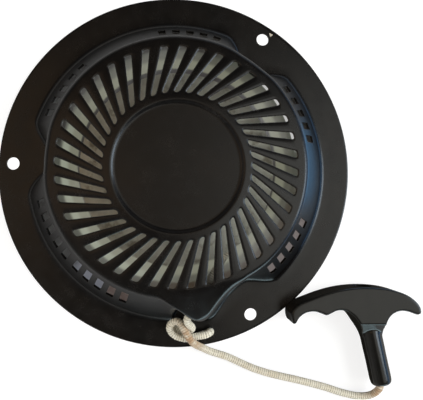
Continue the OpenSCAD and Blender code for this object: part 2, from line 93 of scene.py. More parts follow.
# The knot's places are out from the axis, across and up, seen along the outlet. The rest lie
# in x, y and z. All are in millimetres.
knot_stops = [
    (84.2, 59, 22), (86.2, 59.2, 21.8), (88.3, 61.2, 20.3), (89.7, 64.8, 16.8),
    (91.8, 66.4, 12.1), (94, 64.8, 7.8), (96, 61.6, 5.3), (98.6, 59.8, 4.6), (101.4, 61.6, 4.6),
    (101.4, 66.2, 4.6), (98.2, 70.6, 4.6), (93.9, 75, 4.6), (90.4, 78.2, 4.6), (88.2, 79.6, 5.4),
    (87.4, 79.9, 7.4), (88.2, 79.4, 9.4), (90.4, 77.8, 10.2), (93.6, 74.2, 10.2),
    (97.2, 69.7, 10.3), (100.3, 65.4, 10.3), (101.7, 60.3, 10.3), (101.2, 55.8, 10.4),
    (98.9, 52.7, 11), (95.2, 52.2, 12.4), (92.2, 54.2, 14.2), (92, 57.7, 15.5),
    (93.9, 61.5, 16.6), (96.6, 66.4, 17), (98.9, 71.2, 15.7), (99.9, 75.6, 11.6),
    (100.2, 80.8, 6.8),
]
lying_stops = [
    (26, -130.5, 3.9), (38, -134.5, 3.1), (48, -139, 3), (58.5, -143.5, 3), (71.5, -147.5, 3),
    (91, -152, 3), (110, -157, 3), (123.5, -161.3, 3.2), (135, -163.5, 4.3),
    (143.5, -161.8, 8), (148, -157, 11.9), (149.3, -152.9, 12.9),
]


def by_outlet(out, side, up):
    """A place this far out from the axis, across and up, in millimetres."""
    return tuple(outward * out * mm + across * side * mm + Vector((0, 0, up * mm)))


def smooth_line(stops, steps):
    """A Catmull-Rom curve through the stops."""
    stops = [np.array(s, float) for s in stops]
    line = []
    for i in range(len(stops) - 1):
        a, b, c = stops[max(i - 1, 0)], stops[i], stops[i + 1]
        d = stops[min(i + 2, len(stops) - 1)]
        for k in range(steps):
            t = k / steps
            line.append(
                (2 * b + (c - a) * t + (2 * a - 5 * b + 4 * c - d) * t * t
                 + (3 * b - a - 3 * c + d) * t ** 3) / 2)
    return np.array(line + [stops[-1]])


def even_line(line, gap):
    """The same line with its points the same distance apart."""
    run = np.concatenate([[0], np.cumsum(np.linalg.norm(np.diff(line, axis=0), axis=1))])
    at = np.linspace(0, run[-1], max(2, round(run[-1] / gap) + 1))
    return np.stack([np.interp(at, run, line[:, k]) for k in range(3)], axis=1), at


def braid_height(turn, along, strands=8, lay=1.6 * mm):
    """How proud a strand stands, 0 to 1, at a turn round the rope and a distance along it.
    The braid is packed into ribs that go round the rope, one to each pass."""
    right, left = turn * strands + along / lay, turn * strands - along / lay
    over = (np.floor(right) + np.floor(left)) % 2
    in_right = np.abs(np.cos(np.pi * (right % 1 - 0.5)))
    in_left = np.abs(np.cos(np.pi * (left % 1 - 0.5)))
    crossing = np.where(over > 0.5, in_right ** 0.9 * in_left ** 0.45,
                        in_left ** 0.9 * in_right ** 0.45)
    rib = np.abs(np.sin(np.pi * along / lay)) ** 0.6
    return 0.2 * crossing + 0.8 * rib


def active_only(piece):
    """Selects this piece and nothing else."""
    if bpy.context.object and bpy.context.object.mode != "OBJECT":
        bpy.ops.object.mode_set(mode="OBJECT")
    bpy.ops.object.select_all(action="DESELECT")
    piece.select_set(True)
    bpy.context.view_layer.objects.active = piece


def leave_edit_mode():
    """Turns all faces outwards and goes back to object mode."""
    bpy.ops.mesh.select_all(action="SELECT")
    bpy.ops.mesh.normals_make_consistent(inside=False)
    bpy.ops.object.mode_set(mode="OBJECT")


def braided_tube(name, line, gap, sides, relief, stains=()):
    """A rope along the line. stains are (distance along, half length, strength)."""
    line, along = even_line(line, gap)
    heading = np.gradient(line, axis=0)
    heading /= np.linalg.norm(heading, axis=1, keepdims=True)
    up = np.array([0.02, 0.01, 1.0])
    ups = []
    for forward in heading:
        up = up - forward * (up @ forward)
        up /= np.linalg.norm(up)
        ups.append(up)
    ups = np.array(ups)
    sideways = np.cross(heading, ups)
    turn = np.arange(sides) / sides
    high = braid_height(turn[None, :], along[:, None])
    radius = rope_d / 2 - relief * (1 - high)
    angle = 2 * np.pi * turn
    rings = (line[:, None, :]
             + radius[:, :, None] * (np.cos(angle)[None, :, None] * sideways[:, None, :]
                                     + np.sin(angle)[None, :, None] * ups[:, None, :]))
    count = len(line)
    ring, side = np.meshgrid(np.arange(count - 1), np.arange(sides), indexing="ij")
    ahead = (side + 1) % sides
    quads = np.stack([ring * sides + side, ring * sides + ahead,
                      (ring + 1) * sides + ahead, (ring + 1) * sides + side], -1)
    faces = [list(map(int, q)) for q in quads.reshape(-1, 4)]
    faces += [list(range(sides - 1, -1, -1)),
              [(count - 1) * sides + k for k in range(sides)]]
    mesh = bpy.data.meshes.new(name)
    mesh.from_pydata(rings.reshape(-1, 3).tolist(), [], faces)
    lay_uv = mesh.uv_layers.new(name="lay")
    u = np.stack([side, side + 1, side + 1, side], -1) / sides
    v = np.stack([along[ring], along[ring], along[ring + 1], along[ring + 1]], -1) / mm
    flat = np.stack([u, v], -1).reshape(-1, 2)
    ends = np.zeros((2 * sides, 2))
    lay_uv.data.foreach_set("uv", np.concatenate([flat, ends]).astype(np.float32).ravel())
    hollow = mesh.attributes.new("hollow", "FLOAT", "POINT")
    hollow.data.foreach_set("value", (1 - high).astype(np.float32).ravel())
    soiled = np.zeros(count)
    for at, reach, strength in stains:
        soiled = np.maximum(soiled, strength * np.exp(-((along - at) / reach) ** 2))
    stain = mesh.attributes.new("stain", "FLOAT", "POINT")
    stain.data.foreach_set("value", np.repeat(soiled, sides).astype(np.float32))
    piece = bpy.data.objects.new(name, mesh)
    scene.collection.objects.link(piece)
    active_only(piece)
    bpy.ops.object.mode_set(mode="EDIT")
    leave_edit_mode()
    bpy.ops.object.shade_smooth_by_angle(angle=math.radians(60))
    return piece, line


rope_line = smooth_line([by_outlet(*stop) for stop in knot_stops]
                        + [tuple(c * mm for c in stop) for stop in lying_stops], steps=8)
rope, rope_path = braided_tube(
    "pull_rope", rope_line, gap=0.25 * mm, sides=48, relief=0.5 * mm,
    stains=[(0.119, 0.015, 1.0), (0.273, 0.010, 0.9), (0.185, 0.045, 0.2),
            (0.03, 0.015, 0.35)])
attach(rope, "pull")
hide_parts("rope", "slip_knot")
# A short strand fills the knot's heart.
tuck_stops = [(96.2, 53.6, 7.4), (97.2, 56, 6.9), (98.2, 58.6, 6.6), (99.2, 61.2, 6.2)]
tuck, _ = braided_tube("slip_knot_tuck", smooth_line([by_outlet(*s) for s in tuck_stops], steps=8),
                       gap=0.25 * mm, sides=48, relief=0.5 * mm)
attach(tuck, "pull")

# Inside the housing the same rope runs straight from the reel to the eyelet, and pays out
# through it when the handle is pulled.
lead_line = np.array([tuple(outward * out * mm + across * rope_side + Vector((0, 0, rope_height)))
                      for out in (2, 84)])
rope_run, _ = braided_tube("rope_run", lead_line, gap=0.5 * mm, sides=32, relief=0.24 * mm)
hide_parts("rope_lead")
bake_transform(rope_run)

# Two and a half turns lie flat in the reel, one inside the other, and the inner end goes in
# through the drum to its knot.
wind_pitch, wind_turns, wind_steps = 5.6 * mm, 2.5, 240


def in_reel(turns, ahead=0.0, inward=0.0):
    """A place on the winding after this many turns, then this far ahead and inward."""
    angle = outlet_turn + math.pi / 2 + 2 * math.pi * turns + ahead
    radius = rope_side - wind_pitch * turns - inward
    return radius * math.cos(angle), radius * math.sin(angle), rope_height


wound = [in_reel(wind_turns * step / wind_steps) for step in range(wind_steps + 1)]
wound += [in_reel(wind_turns, math.radians(ahead), inward * mm)
          for ahead, inward in ((3, 0.9), (6.5, 3.4), (9.5, 7.2))]
rope_coil, _ = braided_tube("rope_on_reel", np.array(wound), gap=0.75 * mm, sides=20,
                            relief=0.2 * mm)
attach(rope_coil, "reel")
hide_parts("rope_winding")


def feed(socket, source):
    """Gives the socket its source, which is another socket or a value."""
    if isinstance(source, bpy.types.NodeSocket):
        socket.id_data.links.new(source, socket)
    else:
        socket.default_value = source


def put(tree, kind, sources=None, **settings):
    """A new node in the tree, with the sources of its sockets and its settings by name."""
    node = tree.nodes.new(kind)
    for name, value in settings.items():
        setattr(node, name, value)
    for socket, source in (sources or {}).items():
        feed(node.inputs[socket], source)
    return node


def node_group(name, inputs, outputs):
    """A new shader node group with these number sockets."""
    group = bpy.data.node_groups.new(name, "ShaderNodeTree")
    for labels, way in ((inputs, "INPUT"), (outputs, "OUTPUT")):
        for label in labels:
            group.interface.new_socket(label, in_out=way, socket_type="NodeSocketFloat")
    return group, group.nodes.new("NodeGroupInput"), group.nodes.new("NodeGroupOutput")


def maths(operation, *terms):
    """One maths node on up to three terms, each a socket or a number."""
    tree = next(term.id_data for term in terms if isinstance(term, bpy.types.NodeSocket))
    return put(tree, "ShaderNodeMath", dict(enumerate(terms)), operation=operation).outputs[0]


def times(first, second):
    return maths("MULTIPLY", first, second)


def plus(first, second):
    return maths("ADD", first, second)


def vectors(operation, socket, *terms, result="Value"):
    """One vector maths node on a socket and up to one more term, a socket or a vector."""
    node = put(socket.id_data, "ShaderNodeVectorMath", dict(enumerate((socket, *terms))),
               operation=operation)
    return node.outputs[result]


def spread(value, low, high, to_low=0.0, to_high=1.0):
    """The value's range low to high, stretched to to_low to to_high with soft ends."""
    node = put(value.id_data, "ShaderNodeMapRange",
               {"Value": value, "From Min": low, "From Max": high, "To Min": to_low,
                "To Max": to_high}, interpolation_type="SMOOTHSTEP")
    return node.outputs["Result"]


def blend_colours(share, first, second):
    """Two colours mixed by share. Each is a socket or an RGB colour."""
    node = put(share.id_data, "ShaderNodeMix", {0: share}, data_type="RGBA", clamp_factor=True)
    for socket, source in ((node.inputs[6], first), (node.inputs[7], second)):
        feed(socket, (*source, 1) if isinstance(source, tuple) else source)
    return node.outputs[2]


def noise(where, size, detail=3.0):
    """Noise whose blotches are about this many metres across."""
    return put(where.id_data, "ShaderNodeTexNoise",
               {"Vector": where, "Scale": 1 / size, "Detail": detail, "Roughness": 0.55}
               ).outputs["Fac"]


def linear(red, green, blue):
    """A colour from its usual 0 to 255 values."""
    return tuple(((c / 255) / 12.92 if c <= 10 else ((c / 255 + 0.055) / 1.055) ** 2.4)
                 for c in (red, green, blue))


def new_material(name):
    """A new material: itself, its nodes, its shader and the object's own coordinates."""
    made = bpy.data.materials.new(name)
    made.use_nodes = True
    tree = made.node_tree
    where = put(tree, "ShaderNodeTexCoord").outputs["Object"]
    return made, tree, tree.nodes["Principled BSDF"], where


def set_surface(tree, colour, roughness, height, strength, depth):
    """Gives the shader its colour, its roughness, and a bump this many metres deep."""
    shader = tree.nodes["Principled BSDF"]
    feed(shader.inputs["Base Color"], colour)
    feed(shader.inputs["Roughness"], roughness)
    bump = put(tree, "ShaderNodeBump", {"Height": height, "Strength": strength, "Distance": depth})
    feed(shader.inputs["Normal"], bump.outputs["Normal"])


# The yarns in each strand run along it, so the group turns a rope's own UV, once round and
# along in millimetres, into fine lines on either diagonal.
yarn_group, _, yarn_out = node_group("braid_yarns", (), ("Height", "Shade"))
uv = put(yarn_group, "ShaderNodeUVMap", uv_map="lay").outputs["UV"]
split = put(yarn_group, "ShaderNodeSeparateXYZ", {"Vector": uv})
strands_each_way, yarn_lay, yarns_in_strand, full_turn = 8.0, 1.5, 5, 6.2832
round_it = times(split.outputs["X"], strands_each_way)
along_it = maths("DIVIDE", split.outputs["Y"], yarn_lay)
right = plus(round_it, along_it)
left = maths("SUBTRACT", round_it, along_it)
cell_right, cell_left = maths("FLOOR", right), maths("FLOOR", left)
over = maths("FLOORED_MODULO", plus(cell_right, cell_left), 2.0)
line_right, line_left = (maths("SINE", times(way, full_turn * yarns_in_strand))
                         for way in (right, left))
lines = plus(times(line_left, over), times(line_right, maths("SUBTRACT", 1.0, over)))
feed(yarn_out.inputs["Height"], spread(lines, -1, 1))
cell_at = put(yarn_group, "ShaderNodeCombineXYZ", {"X": cell_right, "Y": cell_left})
cell_shade = put(yarn_group, "ShaderNodeTexWhiteNoise", {"Vector": cell_at.outputs[0]},
                 noise_dimensions="3D")
feed(yarn_out.inputs["Shade"], cell_shade.outputs["Value"])

# The cord is cream, a little patchy, soiled in some stretches, and darkened in its grooves by
# painted shade.
braid_cloth, tree, shader, where = new_material("braided_cord")
yarns = put(tree, "ShaderNodeGroup", node_tree=yarn_group)
hollow = put(tree, "ShaderNodeAttribute", attribute_name="hollow").outputs["Fac"]
stain = put(tree, "ShaderNodeAttribute", attribute_name="stain").outputs["Fac"]
cream = blend_colours(spread(yarns.outputs["Shade"], 0, 1, 0, 0.55),
                      linear(240, 237, 222), linear(226, 221, 200))
patchy = blend_colours(spread(noise(where, 9 * mm), 0.42, 0.7, 0, 0.5),
                       cream, linear(222, 212, 186))
dirt = times(stain, spread(noise(where, 3 * mm), 0.3, 0.65, 0.35, 1.0))
soiled = blend_colours(dirt, patchy, linear(178, 142, 106))
# Painted shade darkens the braid's grooves.
painted_groove_shade = blend_colours(spread(hollow, 0.22, 0.85, 0.0, 0.85), soiled, linear(112, 96, 72))
fuzz = plus(times(yarns.outputs["Height"], 0.7), times(noise(where, 0.4 * mm), 0.6))
set_surface(tree, painted_groove_shade, spread(hollow, 0.2, 1.0, 0.72, 0.95), fuzz, 0.5, 0.12 * mm)
shader.inputs["Specular IOR Level"].default_value = 0.3
shader.inputs["Sheen Weight"].default_value = 0.15
for piece in (rope, tuck, rope_run, rope_coil):
    piece.data.materials.append(braid_cloth)

# ---- Housing ----
# One steel sheet, 1.6 mm thick, pressed into a slotted dome on a flat flange and painted
# black. The wall steps in at each screw, and swells into a box in front of the rope's outlet.

# Millimetres and degrees. The vents stand in six groups of five.
sheet = 1.6
ring_r, rim_r = 44.2, 87.0
disc_z, crown_z, rim_z = 48.7, 50.0, 46.0
bulge_foot_r, recess_foot_r, flange_r = 107.0, 92.0, 128.0
slot_count, slot_in_r, slot_out_r, slot_slant, slot_phase = 40, 49.0, 80.0, 13.0, 6.9
slot_in_half, slot_out_half, in_corner, out_corner = 1.5, 2.2, 1.45, 1.3
screw_angles = (58, 178, 298)
vent_low, vent_high, vent_half, vent_step = 17.0, 38.5, 2.65, 5.8
vent_angles = [start + vent_step * i for start in (314.4, 13.8, 74, 133.8, 194.9, 224.9)
               for i in range(5)]
outlet_n, outlet_z = 82.3, 37.0


def ease(x, low, high):
    """0 below low, 1 above high, and a smooth rise between them."""
    t = np.clip((np.asarray(x, float) - low) / (high - low), 0, 1)
    return t * t * (3 - 2 * t)


def top_height(r):
    """The top's height, which falls a little from its middle to the rim."""
    return rim_z + (crown_z - rim_z) * (rim_r - r) / (rim_r - ring_r)


# The middle line of a slot runs straight from its outer end to its inner end.
outer_end = np.array([slot_out_r, 0.0])
inner_end = slot_in_r * np.array([math.cos(math.radians(slot_slant)),
                                  math.sin(math.radians(slot_slant))])
line_share = np.linspace(0, 1, 200)
slot_line = [outer_end + (inner_end - outer_end) * t for t in line_share]
line_r = np.array([np.hypot(*p) for p in slot_line])[::-1]
line_angle = np.array([math.degrees(math.atan2(p[1], p[0])) for p in slot_line])[::-1]
line_share = line_share[::-1]
slot_run = (outer_end - inner_end) / np.linalg.norm(outer_end - inner_end)


def slot_edge(r):
    """Half the slot's width along the circle of radius r, its corners rounded."""
    r = min(max(r, slot_in_r), slot_out_r)
    turn = math.radians(np.interp(r, line_r, line_angle))
    tilt = slot_run @ np.array([math.cos(turn), math.sin(turn)])
    half = np.interp(np.interp(r, line_r, line_share), (0, 1), (slot_out_half, slot_in_half)) / tilt
    for away, corner in ((slot_out_r - r, out_corner), (r - slot_in_r, in_corner)):
        if away < corner:
            half -= corner - math.sqrt(corner ** 2 - (corner - away) ** 2)
    return half


# The sheet starts as a flat grid, with a row for each ring of the dome and ten columns for
# each slot, and its points are laid out ring by ring.
per_slot = 10
columns = slot_count * per_slot
spot = np.arange(columns)
slot_number, place = spot // per_slot, spot % per_slot
slot_step, even_step = 360 / slot_count, 360 / columns


# The columns beside a slot, and where the slot has its full width.
lip_row, next_row, full_from, full_to = 0.42, 1.0, slot_in_r + 1.5, slot_out_r - out_corner


def slot_layout(r):
    """Angles of the columns at radius r, with three faces of each sector inside its slot."""
    edge = slot_edge(r)
    full = slot_edge(min(max(r, full_from), full_to))
    reach = slot_step / 2 * math.pi / 180 * r
    near, far = max(full, edge) + lip_row, full + next_row
    offsets = np.array([-reach, -far, -near, -edge, -edge / 3, edge / 3, edge, near, far,
                        (far + reach) / 2])
    middle = np.interp(r, line_r, line_angle)
    return slot_phase + slot_number * slot_step + middle + np.degrees(offsets / r)[place]


even_place = (place - per_slot / 2 + 0.5) * even_step
even_in = slot_phase + slot_number * slot_step + slot_slant + even_place
even_out = slot_phase + slot_number * slot_step + even_place

# The wall's columns are moved a little, so that each vent's sides fall on two of them.
vent_r = 95
vent_turn = math.degrees(vent_half / vent_r)
vent_sides = np.sort(np.array([a + s for a in vent_angles
                               for s in (-vent_turn, vent_turn)]) % 360)
start = even_out[0]
column_of = np.round((vent_sides - start) % 360 / even_step).astype(int) % columns
order = np.argsort(column_of)
known = column_of[order].astype(float)
angle_at = ((vent_sides[order] - start) % 360) + start
known = np.concatenate([known - columns, known, known + columns])
angle_at = np.concatenate([angle_at - 360, angle_at, angle_at + 360])
wall_angle = np.interp(spot, known, angle_at)

# The dome's section in each column: A on the top, E at the rim, F at the foot, G at the edge.
# Beside a screw the wall steps in, sharply on one side and slowly on the other, and more gently
# at the third screw.
past_screws = (wall_angle[:, None] - np.array(screw_angles) + 180) % 360 - 180
nearest = np.abs(past_screws).argmin(1)
past = past_screws[np.arange(columns), nearest]
swell = np.where(past > 0, ease(past, 2.4, 13) ** 0.6, ease(-past, 5.5, 17.5))
swell = np.where((nearest == 2) & (past > 0), ease(past, 4, 17), swell)
foot_r = recess_foot_r + (bulge_foot_r - recess_foot_r) * swell

# The box in front of the rope's outlet, in plan: its top edge and its foot, out along the rope
# and across it. The bearing is each column's angle from the rope's direction.
box_top = [(83, 26), (81.3, 31), (80.4, 34.5), (80.7, 41), (81.4, 49), (82.2, 57), (82.3, 61),
           (81.9, 64.2), (80.6, 66.8), (78.4, 68.5), (75, 69.3), (70, 69.5), (64, 69.9),
           (58, 70.8), (52, 72.4), (46.4, 74.6), (41, 77)]
box_bottom = [(90, 30), (82.6, 40), (82.7, 56), (82.6, 66), (81.6, 71), (79.2, 74.8),
              (75, 76.5), (67, 77), (59.5, 77.3), (52.8, 78.6), (46.5, 80.8), (41, 83)]
bearing = (wall_angle - outlet_angle) % 360


def plan_radius(plan, steps=8):
    """The distance of an outline in plan from the axis, for each column."""
    line = smooth_line([(out, side, 0) for out, side in plan], steps)
    return np.interp(bearing, np.degrees(np.arctan2(line[:, 1], line[:, 0])),
                     np.hypot(line[:, 0], line[:, 1]))


in_plan = (bearing > 17.5) & (bearing < 62)
edge_r = np.where(in_plan, np.maximum(plan_radius(box_top), rim_r), rim_r)
box_reach = 16.5
edge_z = rim_z - (rim_z - outlet_z) * np.clip((edge_r - rim_r) / box_reach, 0, 1) ** 1.15
into_box = ease(bearing, 28.6, 31.6) * (1 - ease(bearing, 57.0, 62.0))
foot_r = foot_r * (1 - into_box) + plan_radius(box_bottom) * into_box
front_edge = ease(bearing, 22, 28) * (1 - ease(bearing, 37, 40.5))
flank = ease(bearing, 37, 41) * (1 - ease(bearing, 55, 62))


def at_section(r, z):
    """A corner of each column's section. r and z are one value, or one for each column."""
    return np.stack([np.broadcast_to(r, columns), np.broadcast_to(z, columns)], axis=1)


def round_corner(p0, p1, p2, radius, steps):
    """Rings of points that round corner p1 of each column's section."""
    a, b = p0 - p1, p2 - p1
    a /= np.linalg.norm(a, axis=1, keepdims=True)
    b /= np.linalg.norm(b, axis=1, keepdims=True)
    half = np.arccos(np.clip((a * b).sum(1), -1, 1)) / 2
    middle = (a + b) / np.linalg.norm(a + b, axis=1, keepdims=True)
    centre = p1 + middle * (radius / np.sin(half))[:, None]
    reach = (radius / np.tan(half))[:, None]
    first, last = p1 + a * reach - centre, p1 + b * reach - centre
    rings = []
    for step in range(steps + 1):
        v = first * (1 - step / steps) + last * step / steps
        rings.append(centre + v / np.linalg.norm(v, axis=1, keepdims=True)
                     * np.asarray(radius).reshape(-1, 1))
    return rings


bend_r = 81.2
section_a = at_section(bend_r, top_height(bend_r))
section_e = at_section(edge_r, edge_z)
section_f = at_section(foot_r, sheet)
section_g = at_section(flange_r, sheet)
rim_bend = 4.2 - 2.3 * front_edge + 2.6 * flank
foot_bend = 5.0 - 1.5 * into_box
rim_rings = round_corner(section_a, section_e, section_f, rim_bend, 7)
foot_rings = round_corner(section_e, section_f, section_g, foot_bend, 6)

rings = []          # (radius, angle, height) of each column, one entry for each ring


def add_ring(r, angle, z):
    """Adds a ring. r, angle and z are one value, or one for each column."""
    rings.append([np.broadcast_to(value, columns) for value in (r, angle, z)])


def add_section(point, angle):
    """Adds a ring through these corners of the columns' sections."""
    add_ring(point[:, 0], angle, point[:, 1])


# The flat disc, the step up from it, and the top as far as the slots.
for r, z in ((0.02, disc_z), (10, disc_z), (20, disc_z), (30, disc_z), (37, disc_z),
             (40.2, disc_z), (41.1, disc_z), (41.8, disc_z + 0.14), (42.4, disc_z + 0.42),
             (43.0, disc_z + 0.78), (43.6, crown_z - 0.2), (44.2, crown_z - 0.05),
             (44.9, top_height(44.9)), (46.0, top_height(46.0))):
    add_ring(r, even_in, z)
for r, share in ((47.2, 0.4), (48.1, 0.75), (48.6, 1.0)):
    add_ring(r, even_in * (1 - share) + slot_layout(slot_in_r) * share, top_height(r))
# The slots, and the bend over the rim.
first_slot_ring = len(rings)
slot_rings = [49.0, 49.2, 49.6, 50.45, 52, 54.5, 57, 59.5, 62, 64.5, 67, 69.5, 72, 74.5, 76.9,
              78.7, 79.4, 79.78, 80.0]
for r in slot_rings:
    add_ring(r, slot_layout(r), top_height(r))
last_slot_ring = len(rings) - 1
end_layout = slot_layout(slot_out_r)
for r, share in ((80.35, 0.0), (80.8, 0.12)):
    add_ring(r, end_layout * (1 - share) + wall_angle * share, top_height(r))
for share, turn in ((0.0, 0.3), (0.3, 0.55), (0.65, 0.85)):
    add_section(section_a * (1 - share) + rim_rings[0] * share,
                end_layout * (1 - turn) + wall_angle * turn)
for point in rim_rings:
    add_section(point, wall_angle)
# The wall, level by level. In front of the outlet it starts lower, so its levels lie closer.
wall_top, wall_foot = rim_rings[-1], foot_rings[0]
plain_top, plain_foot = 43.2, 5.5
vent_rings = []
for level in (41.4, 40.0, vent_high, 35.5, 31.5, 27.5, 23.5, 20.0, vent_low, 15.5, 12.5, 9.0):
    share = (plain_top - level) / (plain_top - plain_foot)
    level_z = wall_top[:, 1] + (wall_foot[:, 1] - wall_top[:, 1]) * share
    level_z = np.where(into_box > 0, level_z, level)
    part = ((wall_top[:, 1] - level_z) / (wall_top[:, 1] - wall_foot[:, 1]))[:, None]
    if level in (vent_high, vent_low):
        vent_rings.append(len(rings))
    add_section(wall_top * (1 - part) + wall_foot * part, wall_angle)
# The bend at the foot, and the flange with its rounded edge.
for point in foot_rings:
    add_section(point, wall_angle)
flange_start = foot_rings[-1][:, 0]
for share in (0.3, 0.65, 0.93):
    add_ring(flange_start + (flange_r - flange_start) * share, wall_angle, sheet)
edge_in, edge_down = 0.45, 0.25
add_ring(flange_r - edge_in, wall_angle, sheet)
add_ring(flange_r, wall_angle, sheet - edge_down)

ring_count = len(rings)
bpy.ops.object.select_all(action="DESELECT")
bpy.ops.mesh.primitive_grid_add(x_subdivisions=columns, y_subdivisions=ring_count - 1, size=1)
housing = bpy.context.object
housing.name = "housing_shell"
grid = np.empty((columns + 1) * ring_count * 3)
housing.data.vertices.foreach_get("co", grid)
grid = grid.reshape(-1, 3)
column = np.round((grid[:, 0] + 0.5) * columns).astype(int) % columns
row = np.round((grid[:, 1] + 0.5) * (ring_count - 1)).astype(int)
all_r, all_angle, all_z = (np.array([ring[k] for ring in rings]) for k in range(3))
all_angle = np.radians(all_angle)
x, y = all_r * np.cos(all_angle), all_r * np.sin(all_angle)

# The pressing rolls the slots' edges down a little. How far each point lies from a slot
# also says where the paint is thin.
outline = []
for edge_side, radii in ((1, slot_rings), (-1, slot_rings[::-1])):
    for r in radii:
        angle = math.radians(np.interp(r, line_r, line_angle)) + edge_side * slot_edge(r) / r
        outline.append((r * math.cos(angle), r * math.sin(angle)))
outline = np.array(outline)
far_away = 9.0
lip_gap = np.full(x.shape, far_away)
for ring in range(first_slot_ring - 3, last_slot_ring + 4):
    for shift in (-1, 0, 1):
        turn = np.radians(slot_phase + slot_step * (slot_number + shift))
        px = x[ring] * np.cos(turn) + y[ring] * np.sin(turn)
        py = -x[ring] * np.sin(turn) + y[ring] * np.cos(turn)
        for p, q in zip(outline, np.roll(outline, -1, axis=0)):
            along = q - p
            size = along @ along
            if size < 1e-12:
                continue
            t = np.clip(((px - p[0]) * along[0] + (py - p[1]) * along[1]) / size, 0, 1)
            gap = np.hypot(px - p[0] - t * along[0], py - p[1] - t * along[1])
            lip_gap[ring] = np.minimum(lip_gap[ring], gap)
rolled_down, rolled_width, thin_width = 0.5, 1.0, 0.9
all_z = all_z - rolled_down * np.clip(1 - lip_gap / rolled_width, 0, 1) ** 2

laid = np.stack([x, y, all_z], -1)[row, column] * mm
housing.data.vertices.foreach_set("co", laid.ravel())
lip = housing.data.attributes.new("lip", "FLOAT", "POINT")
lip.data.foreach_set(
    "value", np.clip(1 - lip_gap / thin_width, 0, 1)[row, column].astype(np.float32))
bpy.ops.object.mode_set(mode="EDIT")
bm = bmesh.from_edit_mesh(housing.data)


def near_vent(angle, reach):
    """Whether an angle on the wall is less than this far from the middle of a vent."""
    return any(abs((angle - a + 180) % 360 - 180) < reach for a in vent_angles)


vent_columns = {c for c in range(columns) if near_vent(wall_angle[c], vent_turn + 0.05)}
for face in bm.faces:
    rows = {int(row[v.index]) for v in face.verts}
    cols = {int(column[v.index]) for v in face.verts}
    slot_face = (min(rows) >= first_slot_ring and max(rows) <= last_slot_ring
                 and all(3 <= c % per_slot <= 6 for c in cols))
    vent_face = (min(rows) >= vent_rings[0] and max(rows) <= vent_rings[1]
                 and cols <= vent_columns
                 and near_vent(np.mean([wall_angle[c] for c in cols]), vent_turn))
    face.select = slot_face or vent_face
bmesh.update_edit_mesh(housing.data)
bpy.ops.mesh.delete(type="FACE")
bpy.ops.mesh.select_all(action="SELECT")
bpy.ops.mesh.remove_doubles(threshold=0.03 * mm)
leave_edit_mode()


def apply_modifier(piece, kind, **settings):
    """Adds a modifier with these settings and applies it."""
    active_only(piece)
    modifier = piece.modifiers.new(kind.lower(), kind)
    for key, value in settings.items():
        setattr(modifier, key, value)
    bpy.ops.object.modifier_apply(modifier=modifier.name)


def cut_out(piece, cutter):
    """Takes the cutter's shape out of the piece, and removes the cutter."""
    apply_modifier(piece, "BOOLEAN", object=cutter, operation="DIFFERENCE", solver="EXACT")
    bpy.data.objects.remove(cutter)


def join_pieces(name, *pieces):
    """Joins the pieces into one mesh with this name."""
    active_only(pieces[0])
    for piece in pieces:
        piece.select_set(True)
    bpy.ops.object.join()
    pieces[0].name = name
    return pieces[0]


def cylinder(vertices, radius, depth, location, rotation=(0, 0, 0)):
    """A cylinder along z, turned and put in this place."""
    bpy.ops.mesh.primitive_cylinder_add(vertices=vertices, radius=radius, depth=depth,
                                        location=location, rotation=rotation)
    return bpy.context.object


# The sheet gets its thickness inwards. Three screw holes and the rope's hole are then punched.
apply_modifier(housing, "SOLIDIFY", thickness=sheet * mm, offset=-1, use_even_offset=True)
screws = [m for m in frame["record"]["mounts"] if m["name"] == "mounting_holes"][0]
screw_circle_r = screws["dims"]["pcd_mm"] / 2 * mm
screw_places = [(screw_circle_r * math.cos(math.radians(angle)),
                 screw_circle_r * math.sin(math.radians(angle)), 0) for angle in screw_angles]
punches = [cylinder(48, screws["dims"]["hole_r_mm"] * mm, 10 * mm, place)
           for place in screw_places]
outlet_hole_r = 5.05 * mm
outlet_at = outward * (outlet_n * mm) + across * rope_side + Vector((0, 0, rope_height))
punches.append(cylinder(48, outlet_hole_r, 14 * mm, outlet_at, (0, math.pi / 2, outlet_turn)))
cut_out(housing, join_pieces("punch", *punches))
active_only(housing)
bpy.ops.object.shade_smooth_by_angle(angle=math.radians(38))
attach(housing, "housing")
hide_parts("housing")

# Wear shows where an edge is rounded off: the shading normal of a small bevel turns away from
# the face there.
wear_group, wear_in, wear_out = node_group("worn_edges", ("Width", "Size"), ("Mask",))
rounded = put(wear_group, "ShaderNodeBevel", {"Radius": wear_in.outputs["Width"]}, samples=4)
flat_face = put(wear_group, "ShaderNodeNewGeometry").outputs["Normal"]
facing = vectors("DOT_PRODUCT", rounded.outputs[0], flat_face)
spot_at = put(wear_group, "ShaderNodeTexCoord").outputs["Object"]
broken = put(wear_group, "ShaderNodeTexNoise",
             {"Vector": spot_at, "Scale": wear_in.outputs["Size"], "Detail": 4.0})
feed(wear_out.inputs["Mask"],
     times(spread(facing, 0.995, 0.85), spread(broken.outputs["Fac"], 0.35, 0.62)))


def worn_edges(tree, width, size, share):
    """How worn the edges are, up to this share, this wide and broken up by noise this fine."""
    node = put(tree, "ShaderNodeGroup", {"Width": width, "Size": size}, node_tree=wear_group)
    return times(node.outputs["Mask"], share)


